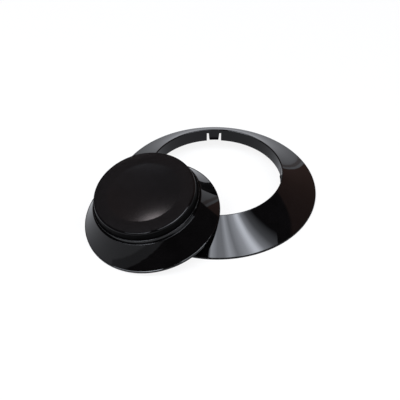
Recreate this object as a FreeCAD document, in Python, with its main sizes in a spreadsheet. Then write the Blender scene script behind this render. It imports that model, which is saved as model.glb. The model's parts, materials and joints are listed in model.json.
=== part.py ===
"""Sink-top push button of a kitchen waste disposer, leaning on its separate trim ring.

Millimetres, +Z up. The origin is the middle of the trim ring, on the surface that it lies on.
The button unit is drawn upright on its own axis, with its rim at height 0, and is then placed
leaning: its rim touches the surface on one side and lies on the ring's crest on the other.
"""
import FreeCAD, Part
import math
import os
import Sketcher

doc = FreeCAD.newDocument("sink_top_button")
dims = doc.addObject("Spreadsheet::Sheet", "dims")

SAME = 1e-3
LEAST_CUT = 0.01

DIMENSIONS = {
    # How far a cutting outline runs past the piece.
    "overshoot": 1.0,
    # Trim ring: a conical skirt with a plain hole and snap fingers inside it.
    "ring_radius": 38.0,
    "ring_rise": 9.9,
    "ring_lip": 0.9,
    "ring_wall_drop": 1.85,
    "hole_radius": 24.75,
    "crest_width": 0.4,
    "crest_round": 0.3,
    "rim_round": 0.3,
    "skirt_wall": 1.2,
    "skirt_bottom": 4.55,
    "foot_inner_radius": 34.8,
    "finger_turn": 1.5,
    "finger_count": 4,
    "finger_half_width": 1.97,
    "finger_taper": 0.17,
    "finger_shortening": 0.65,
    "slit_width": 0.8,
    "slit_top": 8.9,
    "hook_reach": 0.45,
    "hook_rise": 0.9,
    "hook_nose": 0.3,
    "hook_root": 0.3,
    "hook_span": 8.4,
    # Rubber strip in a groove under the ring's rim.
    "ring_seal_inner": 35.5,
    "ring_seal_outer": 37.2,
    "ring_seal_top": 1.1,
    "ring_seal_proud": 0.3,
    "seal_side_gap": 0.05,
    # Bezel: the steep conical shell of the button unit.
    "bezel_radius": 25.1,
    "bezel_lip": 0.9,
    "bezel_top": 10.0,
    "bezel_top_radius": 19.95,
    "bezel_wall": 1.75,
    "bezel_edge_round": 0.25,
    "bezel_foot_inner": 22.9,
    "housing_bore": 19.5,
    "clip_groove_bottom": 3.4,
    "clip_groove_top": 4.2,
    "clip_groove_depth": 0.5,
    "rim_seal_inner": 23.3,
    "rim_seal_outer": 24.4,
    "rim_seal_height": 0.7,
    # Inner housing: the sleeve that guides the cap and shows as a step round it.
    "housing_gap": 0.04,
    "housing_top": 11.55,
    "housing_top_round": 0.12,
    "cap_bore": 19.0,
    "window_count": 3,
    "window_half_width": 2.4,
    "window_top": 9.1,
    "window_depth": 19.65,
    "housing_seal_bottom": 5.6,
    "housing_seal_height": 0.7,
    "housing_seal_inner": 19.95,
    "housing_seal_gap": 0.02,
    # Base plate that closes the unit from below.
    "base_bottom": 4.2,
    "base_top": 5.1,
    "base_radius": 20.9,
    "base_seal_inner": 19.9,
    "base_seal_outer": 20.5,
    "base_seal_height": 0.45,
    "boss_bottom": 3.4,
    "boss_radius": 1.6,
    "spigot_boss_radius": 4.2,
    # Spring clip under the base plate.
    "clip_inner": 20.2,
    "clip_gap_angle": 24.0,
    "clip_side_gap": 0.05,
    # Hose spigot and its seal.
    "spigot_radius": 2.0,
    "spigot_lead": 0.3,
    "spigot_end": 0.8,
    "spigot_bore": 0.8,
    "spigot_shank": 2.6,
    "spigot_shank_gap": 0.02,
    "spigot_flange": 3.8,
    "spigot_flange_height": 0.6,
    "spigot_seal_height": 0.4,
    "spigot_seal_outer": 3.6,
    # Bellows.
    "bellows_foot_radius": 9.0,
    "bellows_foot_height": 0.7,
    "bellows_top": 11.4,
    "bellows_crest": 8.3,
    "bellows_root": 6.9,
    "bellows_wall": 0.6,
    "bellows_land": 0.3,
    "bellows_slopes": 4,
    # Clamp ring that holds the bellows' foot and seats the spring.
    "clamp_radius": 15.2,
    "clamp_inner": 8.5,
    "clamp_top": 6.3,
    "clamp_gap": 0.05,
    "clamp_hole_gap": 0.1,
    "screw_count": 3,
    "screw_circle": 13.5,
    "screw_radius": 0.75,
    "screw_head_radius": 1.35,
    "screw_head_height": 0.8,
    "screw_end": 3.7,
    "screw_drive_width": 0.4,
    "screw_drive_half_length": 0.9,
    "screw_drive_depth": 0.4,
    # Return spring.
    "spring_radius": 11.0,
    "spring_wire": 0.35,
    "spring_turns": 2.5,
    "spring_end_gap": 0.03,
    # Button cap and the pusher under it.
    "cap_radius": 18.9,
    "cap_top": 14.7,
    "cap_edge_radius": 18.5,
    "cap_edge_round": 0.6,
    "cap_draft_start": 11.8,
    "cap_bottom": 8.3,
    "cap_wall": 1.35,
    "cap_roof": 1.4,
    "dish_radius": 13.4,
    "dish_depth": 1.2,
    "dish_round": 0.8,
    "cap_seat": 12.1,
    "cap_seat_radius": 12.3,
    "cap_hook_radius": 19.35,
    "cap_hook_height": 0.7,
    "cap_hook_lead": 0.35,
    "cap_hook_nose": 0.1,
    "cap_hook_root": 0.3,
    "cap_hook_span": 11.0,
    "cap_slit_start": 2.1,
    "cap_slit_width": 0.6,
    "cap_slit_top": 11.0,
    "pusher_radius": 6.6,
    "pusher_gap": 0.05,
    "pusher_side_gap": 0.02,
    "pusher_pin_radius": 1.4,
    "pusher_pin_height": 0.8,
    # How the button unit leans on the ring.
    "unit_distance": 32.1,
    "unit_bearing": -136.4,
    "lean_angle": 14.6,
    "surface_gap": 0.02,
}

for row, (alias, value) in enumerate(DIMENSIONS.items(), 1):
    dims.set(f"A{row}", alias.replace("_", " "))
    dims.set(f"B{row}", str(value))
    dims.setAlias(f"B{row}", alias)
doc.recompute()


def size(expression):
    """The value of an expression over the sheet, as a plain number."""
    return float(dims.evalExpression(expression))


def bound(expression):
    """The same expression as a document object has to write it."""
    words = []
    for word in expression.split(" "):
        words.append("dims." + word if word in DIMENSIONS else word)
    return " ".join(words)


# Sub-parts by label, in the order that they are made.
sub_parts = {}


def new_body(label):
    body = doc.addObject("PartDesign::Body", label)
    body.Label = label
    sub_parts[label] = body
    return body


def origin_feature(body, role):
    for feature in body.Origin.OriginFeatures:
        if feature.Role == role:
            return feature
    raise ValueError(role)


def new_sketch(body, name, role="XZ_Plane"):
    sketch = body.newObject("Sketcher::SketchObject", name)
    sketch.AttachmentSupport = [(origin_feature(body, role), "")]
    sketch.MapMode = "FlatFace"
    return sketch


def tie_point(sketch, line, end, across, up):
    """Tie one end of a line to the sheet by its two distances from the origin."""
    for kind, axis, expression in (("DistanceX", -2, across), ("DistanceY", -1, up)):
        value = size(bound(expression))
        if value == 0:
            sketch.addConstraint(Sketcher.Constraint("PointOnObject", line, end, axis))
            continue
        index = sketch.addConstraint(Sketcher.Constraint(kind, -1, 1, line, end, value))
        sketch.setExpression(f"Constraints[{index}]", bound(expression))


def draw_outline(sketch, corners, arc_after=None):
    """Draw a closed outline through corners, which are pairs of expressions.

    The side that leaves corner number arc_after is an arc with its centre on the upright axis.
    """
    points = [FreeCAD.Vector(size(bound(r)), size(bound(z)), 0) for r, z in corners]
    starts = []
    ends = []
    for number, start in enumerate(points):
        end = points[(number + 1) % len(points)]
        if number == arc_after:
            rise = start.y - end.y
            radius = (start.x ** 2 + rise ** 2) / (2 * rise)
            half_turn = math.asin(start.x / radius) / 2
            middle_x = radius * math.sin(half_turn)
            middle_y = end.y + radius * (1 - math.cos(half_turn))
            side = Part.Arc(start, FreeCAD.Vector(middle_x, middle_y, 0), end)
        else:
            side = Part.LineSegment(start, end)
        index = sketch.addGeometry(side, False)
        forward = sketch.getPoint(index, 1).distanceToPoint(start) < SAME
        starts.append((index, 1 if forward else 2))
        ends.append((index, 2 if forward else 1))
        if number == arc_after:
            sketch.addConstraint(Sketcher.Constraint("PointOnObject", index, 3, -2))
    for number, corner in enumerate(corners):
        joined = Sketcher.Constraint("Coincident", *ends[number - 1], *starts[number])
        sketch.addConstraint(joined)
        tie_point(sketch, *starts[number], *corner)


def revolve(body, name, corners, span=None, arc_after=None):
    """Turn an outline about the body's upright axis, all the way or over a span about X."""
    sketch = new_sketch(body, name + "_outline")
    draw_outline(sketch, corners, arc_after)
    feature = body.newObject("PartDesign::Revolution", name)
    feature.Profile = sketch
    feature.ReferenceAxis = (sketch, ["V_Axis"])
    if span is None:
        feature.Angle = 360
    else:
        feature.setExpression("Angle", bound(span))
        feature.Midplane = True
    doc.recompute()
    return feature


def round_edges(body, name, base, radius, places):
    """Round the circular edges of base that lie at the given pairs of radius and height."""
    wanted = [(size(bound(r)), size(bound(z))) for r, z in places]
    edges = []
    for number, edge in enumerate(base.Shape.Edges, 1):
        if edge.Degenerated or not isinstance(edge.Curve, Part.Circle):
            continue
        curve = edge.Curve
        for r, z in wanted:
            if abs(curve.Radius - r) < SAME and abs(curve.Center.z - z) < SAME:
                edges.append(f"Edge{number}")
    if len(edges) != len(wanted):
        raise ValueError(f"{name}: {len(edges)} edges found, {len(wanted)} wanted")
    feature = body.newObject("PartDesign::Fillet", name)
    feature.Base = (base, edges)
    feature.setExpression("Radius", bound(radius))
    doc.recompute()
    return feature


def cut_towards_x(body, name, outlines, depth):
    """Cut outlines of the YZ plane away from the axis, towards +X, to a depth."""
    before = body.Shape.Volume
    sketch = new_sketch(body, name + "_outline", "YZ_Plane")
    for outline in outlines:
        draw_outline(sketch, outline)
    feature = body.newObject("PartDesign::Pocket", name)
    feature.Profile = sketch
    feature.setExpression("Length", bound(depth))
    feature.Reversed = True
    doc.recompute()
    if body.Shape.Volume > before - LEAST_CUT:
        raise ValueError(name + " cut nothing")
    return feature


def repeat_round_axis(body, name, originals, count):
    feature = body.newObject("PartDesign::PolarPattern", name)
    feature.Originals = originals
    feature.Axis = (origin_feature(body, "Z_Axis"), [""])
    feature.Angle = 360
    feature.setExpression("Occurrences", bound(count))
    body.Tip = feature
    doc.recompute()
    return feature


def cut_holes(body, name, radius, circle, count):
    """Cut holes through everything, in a ring about the axis, or one on it where circle is 0."""
    before = body.Shape.Volume
    sketch = new_sketch(body, name + "_outline", "XY_Plane")
    centre = FreeCAD.Vector(size(bound(circle)), 0, 0)
    sketch.addGeometry(Part.Circle(centre, FreeCAD.Vector(0, 0, 1), size(bound(radius))), False)
    tie_point(sketch, 0, 3, circle, "0")
    index = sketch.addConstraint(Sketcher.Constraint("Radius", 0, size(bound(radius))))
    sketch.setExpression(f"Constraints[{index}]", bound(radius))
    feature = body.newObject("PartDesign::Pocket", name)
    feature.Profile = sketch
    feature.Type = "ThroughAll"
    feature.Midplane = True
    doc.recompute()
    if body.Shape.Volume > before - LEAST_CUT:
        raise ValueError(name + " cut nothing")
    if count is not None:
        repeat_round_axis(body, name + "_ring", [feature], count)


def rectangle(left, right, bottom, top):
    return [(left, bottom), (right, bottom), (right, top), (left, top)]


# ---- Trim ring -------------------------------------------------------------------------------

RING_SLOPE = "( ring_rise - ring_lip ) / ( ring_radius - hole_radius - crest_width )"


def under_cone(radius):
    """Height of the underside of the ring's conical wall at a radius."""
    return f"ring_lip + ( ring_radius - {radius} ) * {RING_SLOPE} - ring_wall_drop"


def make_trim_ring():
    body = new_body("trim_ring")
    skirt_outer = "hole_radius + skirt_wall"
    shell = revolve(body, "ring_shell", [
        ("ring_radius", "ring_seal_proud"),
        ("ring_radius", "ring_lip"),
        ("hole_radius + crest_width", "ring_rise"),
        ("hole_radius", "ring_rise"),
        ("hole_radius", "skirt_bottom"),
        (skirt_outer, "skirt_bottom"),
        (skirt_outer, under_cone("( hole_radius + skirt_wall )")),
        ("foot_inner_radius", under_cone("foot_inner_radius")),
        ("foot_inner_radius", "ring_seal_proud"),
        ("ring_seal_inner", "ring_seal_proud"),
        ("ring_seal_inner", "ring_seal_top"),
        ("ring_seal_outer", "ring_seal_top"),
        ("ring_seal_outer", "ring_seal_proud"),
    ])
    crest = round_edges(body, "ring_crest_round", shell, "crest_round", [
        ("hole_radius", "ring_rise"),
    ])
    round_edges(body, "ring_rim_round", crest, "rim_round", [
        ("ring_radius", "ring_lip"),
    ])
    slits = []
    for side in ("", "-"):
        inner_low = f"{side}1 * ( finger_half_width - finger_taper )"
        inner_high = f"{side}1 * ( finger_half_width + finger_taper )"
        outer = f"{side}1 * ( finger_half_width + slit_width )"
        slits.append([
            (inner_low, "skirt_bottom - overshoot"),
            (outer, "skirt_bottom - overshoot"),
            (outer, "slit_top"),
            (inner_high, "slit_top"),
        ])
    cut_slits = cut_towards_x(body, "finger_slits", slits, skirt_outer)
    hook_bottom = "skirt_bottom + finger_shortening"
    shorten = cut_towards_x(body, "finger_end", [rectangle(
        "-1 * finger_half_width", "finger_half_width",
        "skirt_bottom - overshoot", hook_bottom,
    )], skirt_outer)
    hook = revolve(body, "finger_hook", [
        ("hole_radius + hook_root", hook_bottom),
        ("hole_radius - hook_reach", hook_bottom),
        ("hole_radius - hook_reach", hook_bottom + " + hook_nose"),
        ("hole_radius", hook_bottom + " + hook_rise"),
        ("hole_radius + hook_root", hook_bottom + " + hook_rise"),
    ], span="hook_span")
    repeat_round_axis(body, "fingers", [cut_slits, shorten, hook], "finger_count")
    turn = FreeCAD.Rotation(FreeCAD.Vector(0, 0, 1), size(bound("finger_turn")))
    body.Placement = FreeCAD.Placement(FreeCAD.Vector(0, 0, 0), turn)


def make_plain_ring(label, inner, outer, bottom, top):
    """A ring of rectangular section, such as a seal."""
    revolve(new_body(label), label + "_section", rectangle(inner, outer, bottom, top))


# ---- Button unit: fixed pieces ---------------------------------------------------------------

BEZEL_SLOPE = "( bezel_radius - bezel_top_radius ) / ( bezel_top - bezel_lip )"


def bezel_inside(height):
    """Radius of the bezel's inner wall at a height."""
    return f"bezel_radius - bezel_wall - ( {height} - bezel_lip ) * {BEZEL_SLOPE}"


def height_inside(radius):
    """Height at which the bezel's inner wall has a radius."""
    return f"bezel_lip + ( bezel_radius - bezel_wall - {radius} ) / ( {BEZEL_SLOPE} )"


def make_bezel():
    body = new_body("bezel")
    groove_outer_top = bezel_inside("clip_groove_top") + " + clip_groove_depth"
    shell = revolve(body, "bezel_shell", [
        ("bezel_radius", "0"),
        ("bezel_radius", "bezel_lip"),
        ("bezel_top_radius", "bezel_top"),
        ("housing_bore", "bezel_top"),
        ("housing_bore", height_inside("housing_bore")),
        (bezel_inside("clip_groove_top"), "clip_groove_top"),
        (groove_outer_top, "clip_groove_top"),
        (groove_outer_top, "clip_groove_bottom"),
        (bezel_inside("clip_groove_bottom"), "clip_groove_bottom"),
        ("bezel_foot_inner", height_inside("bezel_foot_inner")),
        ("bezel_foot_inner", "0"),
        ("rim_seal_inner", "0"),
        ("rim_seal_inner", "rim_seal_height"),
        ("rim_seal_outer", "rim_seal_height"),
        ("rim_seal_outer", "0"),
    ])
    round_edges(body, "bezel_edge_rounds", shell, "bezel_edge_round", [
        ("bezel_radius", "bezel_lip"),
    ])


def make_inner_housing():
    body = new_body("inner_housing")
    outer = "housing_bore - housing_gap"
    seal_top = "housing_seal_bottom + housing_seal_height"

    def seat(height):
        return bezel_inside(height) + " - housing_gap"

    sleeve = revolve(body, "housing_sleeve", [
        ("cap_bore", "housing_top"),
        (outer, "housing_top"),
        (outer, height_inside("housing_bore")),
        (seat(f"( {seal_top} )"), seal_top),
        ("housing_seal_inner", seal_top),
        ("housing_seal_inner", "housing_seal_bottom"),
        (seat("housing_seal_bottom"), "housing_seal_bottom"),
        (seat("base_top"), "base_top"),
        ("cap_bore", "base_top"),
    ])
    round_edges(body, "housing_top_rounds", sleeve, "housing_top_round", [
        ("cap_bore", "housing_top"),
        (outer, "housing_top"),
    ])
    window = cut_towards_x(body, "hook_window", [rectangle(
        "-1 * window_half_width", "window_half_width", "base_top - overshoot", "window_top",
    )], "window_depth")
    repeat_round_axis(body, "hook_windows", [window], "window_count")


def make_base_plate():
    body = new_body("base_plate")
    revolve(body, "base_disc", [
        ("0", "boss_bottom"),
        ("spigot_boss_radius", "boss_bottom"),
        ("spigot_boss_radius", "base_bottom"),
        ("base_radius", "base_bottom"),
        ("base_radius", "base_top"),
        ("base_seal_outer", "base_top"),
        ("base_seal_outer", "base_top - base_seal_height"),
        ("base_seal_inner", "base_top - base_seal_height"),
        ("base_seal_inner", "base_top"),
        ("0", "base_top"),
    ])
    boss = pad_disc(body, "screw_boss", "boss_radius", "screw_circle", "boss_bottom", "base_top")
    repeat_round_axis(body, "screw_bosses", [boss], "screw_count")
    cut_holes(body, "screw_holes", "screw_radius", "screw_circle", "screw_count")
    cut_holes(body, "spigot_hole", "spigot_shank + spigot_shank_gap", "0", None)


def pad_disc(body, name, radius, circle, bottom, top):
    """An upright cylinder at a distance from the axis along X, between two heights."""
    sketch = new_sketch(body, name + "_outline", "XY_Plane")
    sketch.setExpression("AttachmentOffset.Base.z", bound(bottom))
    centre = FreeCAD.Vector(size(bound(circle)), 0, 0)
    sketch.addGeometry(Part.Circle(centre, FreeCAD.Vector(0, 0, 1), size(bound(radius))), False)
    tie_point(sketch, 0, 3, circle, "0")
    index = sketch.addConstraint(Sketcher.Constraint("Radius", 0, size(bound(radius))))
    sketch.setExpression(f"Constraints[{index}]", bound(radius))
    feature = body.newObject("PartDesign::Pad", name)
    feature.Profile = sketch
    feature.setExpression("Length", bound(f"{top} - ( {bottom} )"))
    doc.recompute()
    return feature


def make_retaining_clip():
    body = new_body("retaining_clip")
    outer = bezel_inside("clip_groove_top") + " + clip_groove_depth - clip_side_gap"
    revolve(body, "clip_section", rectangle(
        "clip_inner", outer,
        "clip_groove_bottom + clip_side_gap", "clip_groove_top - clip_side_gap",
    ), span="360 - clip_gap_angle")


def make_hose_spigot():
    body = new_body("hose_spigot")
    shoulder = "base_top + spigot_seal_height"
    top = shoulder + " + spigot_flange_height"
    revolve(body, "spigot_turning", [
        ("spigot_bore", "spigot_end"),
        ("spigot_radius - spigot_lead", "spigot_end"),
        ("spigot_radius", "spigot_end + spigot_lead"),
        ("spigot_radius", "boss_bottom"),
        ("spigot_shank", "boss_bottom"),
        ("spigot_shank", shoulder),
        ("spigot_flange", shoulder),
        ("spigot_flange", top),
        ("spigot_bore", top),
    ])


def make_bellows():
    body = new_body("bellows")
    fold_start = "base_top + bellows_foot_height"
    folded_height = "bellows_top - base_top - bellows_foot_height - 2 * bellows_land"
    fold_step = f"( {folded_height} ) / bellows_slopes"
    outside = []
    inside = []
    for fold in range(int(size("bellows_slopes")) + 1):
        radius = "bellows_crest" if fold % 2 else "bellows_root"
        height = f"{fold_start} + bellows_land + {fold} * {fold_step}"
        outside.append((radius, height))
        inside.append((f"{radius} - bellows_wall", height))
    outline = [
        ("bellows_foot_radius", "base_top"),
        ("bellows_foot_radius", fold_start),
        ("bellows_root", fold_start),
    ]
    outline += outside
    outline += [
        ("bellows_root", "bellows_top"),
        ("0", "bellows_top"),
        ("0", "bellows_top - bellows_wall"),
        ("bellows_root - bellows_wall", "bellows_top - bellows_wall"),
    ]
    outline += inside[-2::-1]
    outline += [("bellows_root - bellows_wall", "base_top")]
    revolve(body, "bellows_wall_section", outline)


def make_bellows_clamp():
    body = new_body("bellows_clamp")
    foot_top = "base_top + bellows_foot_height + clamp_gap"
    foot_side = "bellows_foot_radius + clamp_gap"
    revolve(body, "clamp_section", [
        ("clamp_inner", foot_top),
        (foot_side, foot_top),
        (foot_side, "base_top"),
        ("clamp_radius", "base_top"),
        ("clamp_radius", "clamp_top"),
        ("clamp_inner", "clamp_top"),
    ])
    cut_holes(body, "clamp_holes", "screw_radius + clamp_hole_gap", "screw_circle", "screw_count")


def make_clamp_screws():
    body = new_body("clamp_screws")
    body.AllowCompound = True
    shank = pad_disc(body, "screw_shank", "screw_radius", "screw_circle", "screw_end", "clamp_top")
    head_top = "clamp_top + screw_head_height"
    head = pad_disc(body, "screw_head", "screw_head_radius", "screw_circle", "clamp_top", head_top)
    sketch = new_sketch(body, "screw_drive_outline", "XY_Plane")
    sketch.setExpression("AttachmentOffset.Base.z", bound(head_top))
    half_width = "screw_drive_width / 2"
    reach = "screw_drive_half_length"
    draw_outline(sketch, [
        (f"screw_circle - {reach}", f"-1 * {half_width}"),
        (f"screw_circle - {half_width}", f"-1 * {half_width}"),
        (f"screw_circle - {half_width}", f"-1 * {reach}"),
        (f"screw_circle + {half_width}", f"-1 * {reach}"),
        (f"screw_circle + {half_width}", f"-1 * {half_width}"),
        (f"screw_circle + {reach}", f"-1 * {half_width}"),
        (f"screw_circle + {reach}", half_width),
        (f"screw_circle + {half_width}", half_width),
        (f"screw_circle + {half_width}", reach),
        (f"screw_circle - {half_width}", reach),
        (f"screw_circle - {half_width}", half_width),
        (f"screw_circle - {reach}", half_width),
    ])
    drive = body.newObject("PartDesign::Pocket", "screw_drive")
    drive.Profile = sketch
    drive.setExpression("Length", bound("screw_drive_depth"))
    doc.recompute()
    repeat_round_axis(body, "screws", [shank, head, drive], "screw_count")


def make_return_spring():
    body = new_body("return_spring")
    sketch = new_sketch(body, "spring_wire_outline")
    bottom = "clamp_top + spring_end_gap + spring_wire"
    radius = size(bound("spring_wire"))
    centre = FreeCAD.Vector(size(bound("spring_radius")), size(bound(bottom)), 0)
    sketch.addGeometry(Part.Circle(centre, FreeCAD.Vector(0, 0, 1), radius), False)
    tie_point(sketch, 0, 3, "spring_radius", bottom)
    index = sketch.addConstraint(Sketcher.Constraint("Radius", 0, radius))
    sketch.setExpression(f"Constraints[{index}]", bound("spring_wire"))
    coil = body.newObject("PartDesign::AdditiveHelix", "spring_coil")
    coil.Profile = sketch
    coil.ReferenceAxis = (sketch, ["V_Axis"])
    coil.Mode = "height-turns-angle"
    rise = "cap_seat - clamp_top - 2 * ( spring_end_gap + spring_wire )"
    coil.setExpression("Height", bound(rise))
    coil.setExpression("Turns", bound("spring_turns"))
    doc.recompute()


# ---- Button unit: moving pieces --------------------------------------------------------------

def make_button_cap():
    body = new_body("button_cap")
    skirt_inner = "cap_radius - cap_wall"
    blank = revolve(body, "cap_blank", [
        ("dish_radius", "cap_top"),
        ("0", "cap_top - dish_depth"),
        ("0", "cap_seat + pusher_pin_height"),
        ("pusher_pin_radius", "cap_seat + pusher_pin_height"),
        ("pusher_pin_radius", "cap_seat"),
        ("cap_seat_radius", "cap_seat"),
        ("cap_seat_radius", "cap_top - cap_roof"),
        (skirt_inner, "cap_top - cap_roof"),
        (skirt_inner, "cap_bottom"),
        ("cap_radius", "cap_bottom"),
        ("cap_radius", "cap_draft_start"),
        ("cap_edge_radius", "cap_top"),
    ], arc_after=0)
    edge = round_edges(body, "cap_edge_rounding", blank, "cap_edge_round", [
        ("cap_edge_radius", "cap_top"),
    ])
    round_edges(body, "dish_edge_rounding", edge, "dish_round", [
        ("dish_radius", "cap_top"),
    ])
    slits = []
    for side in ("", "-"):
        near = f"{side}1 * cap_slit_start"
        far = f"{side}1 * ( cap_slit_start + cap_slit_width )"
        slits.append(rectangle(near, far, "cap_bottom - overshoot", "cap_slit_top"))
    cut_slits = cut_towards_x(body, "leg_slits", slits, "cap_radius + overshoot")
    hook_top = "cap_bottom + cap_hook_height"
    hook = revolve(body, "leg_hook", [
        ("cap_radius - cap_hook_root", "cap_bottom"),
        ("cap_radius + cap_hook_nose", "cap_bottom"),
        ("cap_hook_radius", "cap_bottom + cap_hook_lead"),
        ("cap_hook_radius", hook_top),
        ("cap_radius - cap_hook_root", hook_top),
    ], span="cap_hook_span")
    repeat_round_axis(body, "legs", [cut_slits, hook], "window_count")


def make_pusher():
    body = new_body("pusher")
    top = "cap_seat - pusher_side_gap"
    pin_top = "cap_seat + pusher_pin_height - pusher_gap"
    pin = "pusher_pin_radius - pusher_side_gap"
    revolve(body, "pusher_turning", [
        ("0", "bellows_top + pusher_gap"),
        ("pusher_radius", "bellows_top + pusher_gap"),
        ("pusher_radius", top),
        (pin, top),
        (pin, pin_top),
        ("0", pin_top),
    ])


def leaning_placement():
    """The place of the button unit's axis, leaning away from the trim ring."""
    bearing = math.radians(size(bound("unit_bearing")))
    lean = size(bound("lean_angle"))
    distance = size(bound("unit_distance"))
    low_side = size(bound("bezel_radius")) * math.sin(math.radians(lean))
    centre = FreeCAD.Vector(
        distance * math.cos(bearing),
        distance * math.sin(bearing),
        low_side + size(bound("surface_gap")),
    )
    hinge_line = FreeCAD.Vector(-math.sin(bearing), math.cos(bearing), 0)
    return FreeCAD.Placement(centre, FreeCAD.Rotation(hinge_line, lean))


def main():
    make_trim_ring()
    make_plain_ring(
        "trim_ring_gasket", "ring_seal_inner + seal_side_gap", "ring_seal_outer - seal_side_gap",
        "0", "ring_seal_top",
    )
    on_the_ring = set(sub_parts)
    make_bezel()
    make_plain_ring(
        "bezel_gasket", "rim_seal_inner + seal_side_gap", "rim_seal_outer - seal_side_gap",
        "0", "rim_seal_height",
    )
    make_inner_housing()
    make_plain_ring(
        "housing_seal", "housing_seal_inner",
        bezel_inside("( housing_seal_bottom + housing_seal_height )") + " - housing_seal_gap",
        "housing_seal_bottom", "housing_seal_bottom + housing_seal_height",
    )
    make_base_plate()
    make_plain_ring(
        "base_seal", "base_seal_inner", "base_seal_outer",
        "base_top - base_seal_height", "base_top",
    )
    make_retaining_clip()
    make_hose_spigot()
    make_plain_ring(
        "spigot_seal", "spigot_shank", "spigot_seal_outer",
        "base_top", "base_top + spigot_seal_height",
    )
    make_bellows()
    make_bellows_clamp()
    make_clamp_screws()
    make_return_spring()
    make_button_cap()
    make_pusher()

    leaning = leaning_placement()
    for label, body in sub_parts.items():
        if label not in on_the_ring:
            body.Placement = leaning
    doc.recompute()

    for thing in doc.Objects:
        if "Invalid" in thing.State or "Error" in thing.State:
            raise RuntimeError(f"{thing.Label} failed: {thing.State}")
    os.makedirs("parts", exist_ok=True)
    for label, body in sub_parts.items():
        shape = body.Shape
        if shape.isNull() or not shape.isValid():
            raise RuntimeError(label + " has no valid shape")
        shape.exportStep(f"parts/{label}.step")
        print(f"{label}: {len(shape.Solids)} solid(s), {shape.Volume:.1f} cubic mm")


main()
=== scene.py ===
"""The look of a sink-top push button that leans on its trim ring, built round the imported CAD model.

Outlines are in millimetres, as corners of (radius, height, rounding) round a piece's own axis.
Everything that Blender holds is in metres.
"""
import json
import math

import bmesh
import bpy
from mathutils import Matrix, Vector


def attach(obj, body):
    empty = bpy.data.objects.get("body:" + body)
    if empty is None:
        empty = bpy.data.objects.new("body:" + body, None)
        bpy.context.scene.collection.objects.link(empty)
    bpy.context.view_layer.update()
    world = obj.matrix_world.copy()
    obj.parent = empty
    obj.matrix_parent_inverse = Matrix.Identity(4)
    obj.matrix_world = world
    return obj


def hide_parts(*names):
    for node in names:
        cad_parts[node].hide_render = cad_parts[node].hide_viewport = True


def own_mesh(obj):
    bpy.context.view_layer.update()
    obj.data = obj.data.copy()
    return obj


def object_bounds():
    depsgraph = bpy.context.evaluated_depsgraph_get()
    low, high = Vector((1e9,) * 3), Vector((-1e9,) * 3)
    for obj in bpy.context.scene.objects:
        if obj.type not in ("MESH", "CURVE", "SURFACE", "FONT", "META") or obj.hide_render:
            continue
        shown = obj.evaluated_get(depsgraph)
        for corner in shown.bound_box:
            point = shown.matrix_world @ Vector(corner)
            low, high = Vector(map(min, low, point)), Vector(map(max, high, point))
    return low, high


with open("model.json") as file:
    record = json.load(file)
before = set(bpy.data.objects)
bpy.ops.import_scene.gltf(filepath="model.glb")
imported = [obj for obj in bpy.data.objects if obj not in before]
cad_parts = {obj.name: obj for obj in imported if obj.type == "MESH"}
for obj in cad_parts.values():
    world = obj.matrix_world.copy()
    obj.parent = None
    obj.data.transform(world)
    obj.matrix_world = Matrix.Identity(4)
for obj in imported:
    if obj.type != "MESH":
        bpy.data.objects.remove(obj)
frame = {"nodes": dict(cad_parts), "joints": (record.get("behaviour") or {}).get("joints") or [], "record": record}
cad_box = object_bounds()
scene = bpy.context.scene

MM = 0.001
MICRON = 1e-6
UP = Vector((0, 0, 1))

# How finely shapes are drawn: steps to a full turn, the largest step along a rounded corner,
# the steps of a hollow arc, and the angle from which an edge is shaded as sharp.
AROUND = 288
ROUND_STEP = math.radians(12)
HOLLOW_STEPS = 16
SHARP_ANGLE = math.radians(32)
# A long side gets an extra point this close to a bend that is more than gentle.
HOLD = 0.05
LONG_SIDE = 4 * HOLD
GENTLE = math.radians(2)
# A radius under this many metres lies on the axis.
ON_AXIS = 1e-6
# How far a cutter reaches past the wall that it cuts.
CUT_MARGIN = 1


# ---- Places and sizes from the frame ---------------------------------------------------------

def named(rows, name):
    """The row of a list that has a name."""
    return next(row for row in rows if row["name"] == name)


def heights(node, axis):
    """Lowest and highest place of a CAD node along an axis through the frame's origin."""
    along = [vertex.co.dot(axis) for vertex in frame["nodes"][node].data.vertices]
    return min(along), max(along)


def unit_place():
    """Where the leaning button unit's own frame is: its rim's plane and its axis."""
    axis = -Vector(named(frame["joints"], "button_press")["axis"]).normalized()
    on_axis = Vector(named(frame["record"]["mounts"], "hose_spigot_seat")["pos_m"])
    rim = heights("bezel", axis)[0]
    centre = on_axis + (rim - on_axis.dot(axis)) * axis
    return Matrix.Translation(centre) @ UP.rotation_difference(axis).to_matrix().to_4x4()


def extent(node, place):
    """Outer radius, lowest and highest height of a CAD node in its own frame, in millimetres."""
    back = place.inverted()
    points = [back @ vertex.co / MM for vertex in frame["nodes"][node].data.vertices]
    radius = max(point.xy.length for point in points)
    return radius, min(point.z for point in points), max(point.z for point in points)


RING = Matrix.Identity(4)
UNIT = unit_place()


# ---- Mesh tools ------------------------------------------------------------------------------

def rounded(corners):
    """A closed line through corners of (across, up, rounding), each rounded by an arc."""
    line = []
    for number, (across, up, rounding) in enumerate(corners):
        here = Vector((across, up))
        if not rounding:
            line.append(here)
            continue
        following = corners[(number + 1) % len(corners)]
        back = (Vector(corners[number - 1][:2]) - here).normalized()
        ahead = (Vector(following[:2]) - here).normalized()
        half = back.angle(ahead) / 2
        centre = here + (back + ahead).normalized() * rounding / math.sin(half)
        start = here + back * rounding / math.tan(half) - centre
        end = here + ahead * rounding / math.tan(half) - centre
        turn = start.angle(end)
        steps = max(2, math.ceil(turn / ROUND_STEP))
        for step in range(steps + 1):
            done = turn * step / steps
            mixed = start * math.sin(turn - done) + end * math.sin(done)
            line.append(centre + mixed / math.sin(turn))
    return line


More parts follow.
